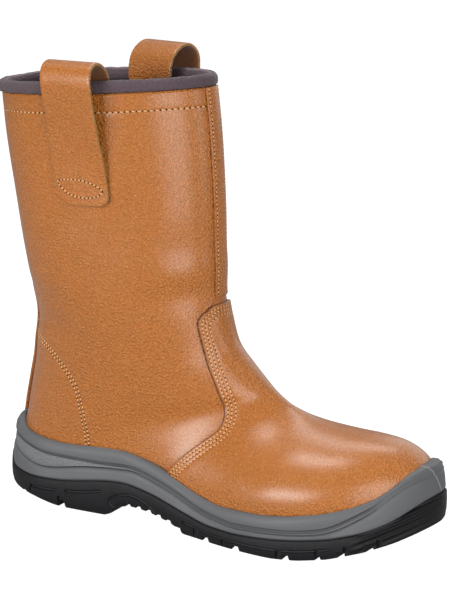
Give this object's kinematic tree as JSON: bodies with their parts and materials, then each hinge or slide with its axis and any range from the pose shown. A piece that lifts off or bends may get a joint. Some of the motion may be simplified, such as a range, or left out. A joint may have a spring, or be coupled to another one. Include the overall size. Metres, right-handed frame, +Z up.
{
  "type": "rigger boot",
  "caption": "Pull-on leather rigger boot for the right foot, with a vamp, two pull loops, a padded collar and a moulded two-colour lugged sole.",
  "frame": {"origin": "on the floor, at the middle of the boot's footprint box", "axes": "+X from heel to toe, +Y to the wearer's left (the inner side of this right boot), +Z up"},
  "size_m": [0.303, 0.1176, 0.2928],
  "materials": {
    "leather": "tan pebbled full-grain leather, semi-gloss",
    "grey_foam": "moulded grey polyurethane foam, satin",
    "black_rubber": "moulded black polyurethane, matte",
    "collar_fabric": "dark aubergine-grey textile",
    "insole_board": "dark needled sock lining",
    "lining": "dark brushed textile",
    "thread": "tan polyester thread"
  },
  "bodies": {
    "root": {"outsole": "black_rubber", "midsole": "grey_foam", "insole": "insole_board", "upper": "leather", "vamp": "leather", "back_strip": "leather", "front_strip": "leather", "collar_binding": "collar_fabric", "pull_loop_lateral": "leather", "pull_loop_medial": "leather"}
  },
  "joints": []
}
